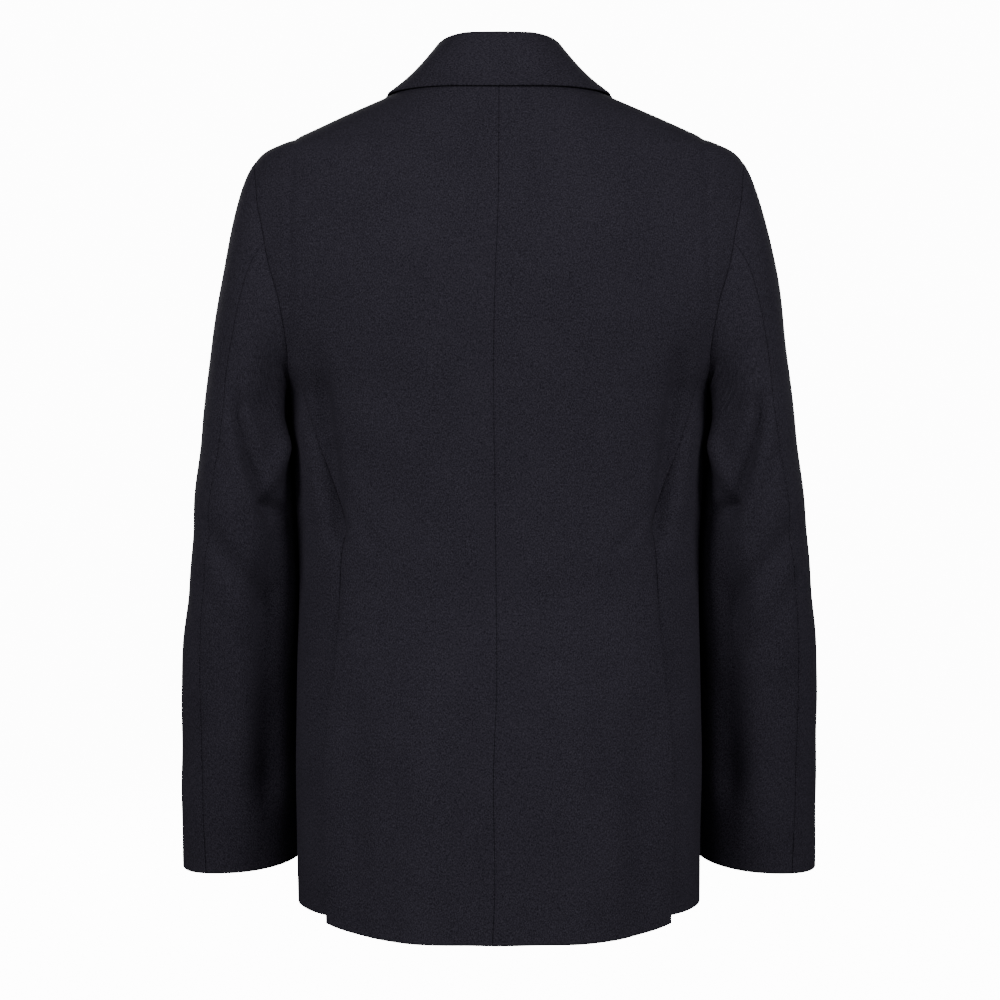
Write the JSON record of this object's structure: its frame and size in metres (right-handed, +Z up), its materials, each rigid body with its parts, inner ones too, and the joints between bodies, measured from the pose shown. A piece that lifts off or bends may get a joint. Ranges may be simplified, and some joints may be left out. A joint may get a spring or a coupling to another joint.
{
  "type": "blazer",
  "caption": "Single-breasted wool blazer with notched lapels, buttoned front, long sleeves and side vents, hollow and filled out as when worn.",
  "frame": {"origin": "middle of the neck, level with the neck points of the shoulder seams, where the wearer's neck and shoulders hold it", "axes": "+Z up, +X to the wearer's left, +Y to the wearer's back"},
  "size_m": [0.565, 0.2419, 0.7761],
  "materials": {
    "wool": "matt, finely mottled dark navy-charcoal worsted",
    "horn": "dark polished horn"
  },
  "bodies": {
    "root": {"back_left": "wool", "back_right": "wool", "side_left": "wool", "side_right": "wool", "front_left": "wool", "front_right": "wool", "lapel_left": "wool", "lapel_right": "wool", "collar": "wool", "sleeve_crown_left": "wool", "sleeve_top_left": "wool", "sleeve_forearm_left": "wool", "sleeve_under_left": "wool", "sleeve_crown_right": "wool", "sleeve_top_right": "wool", "sleeve_forearm_right": "wool", "sleeve_under_right": "wool", "button_top": "horn", "button_bottom": "horn"}
  },
  "joints": []
}
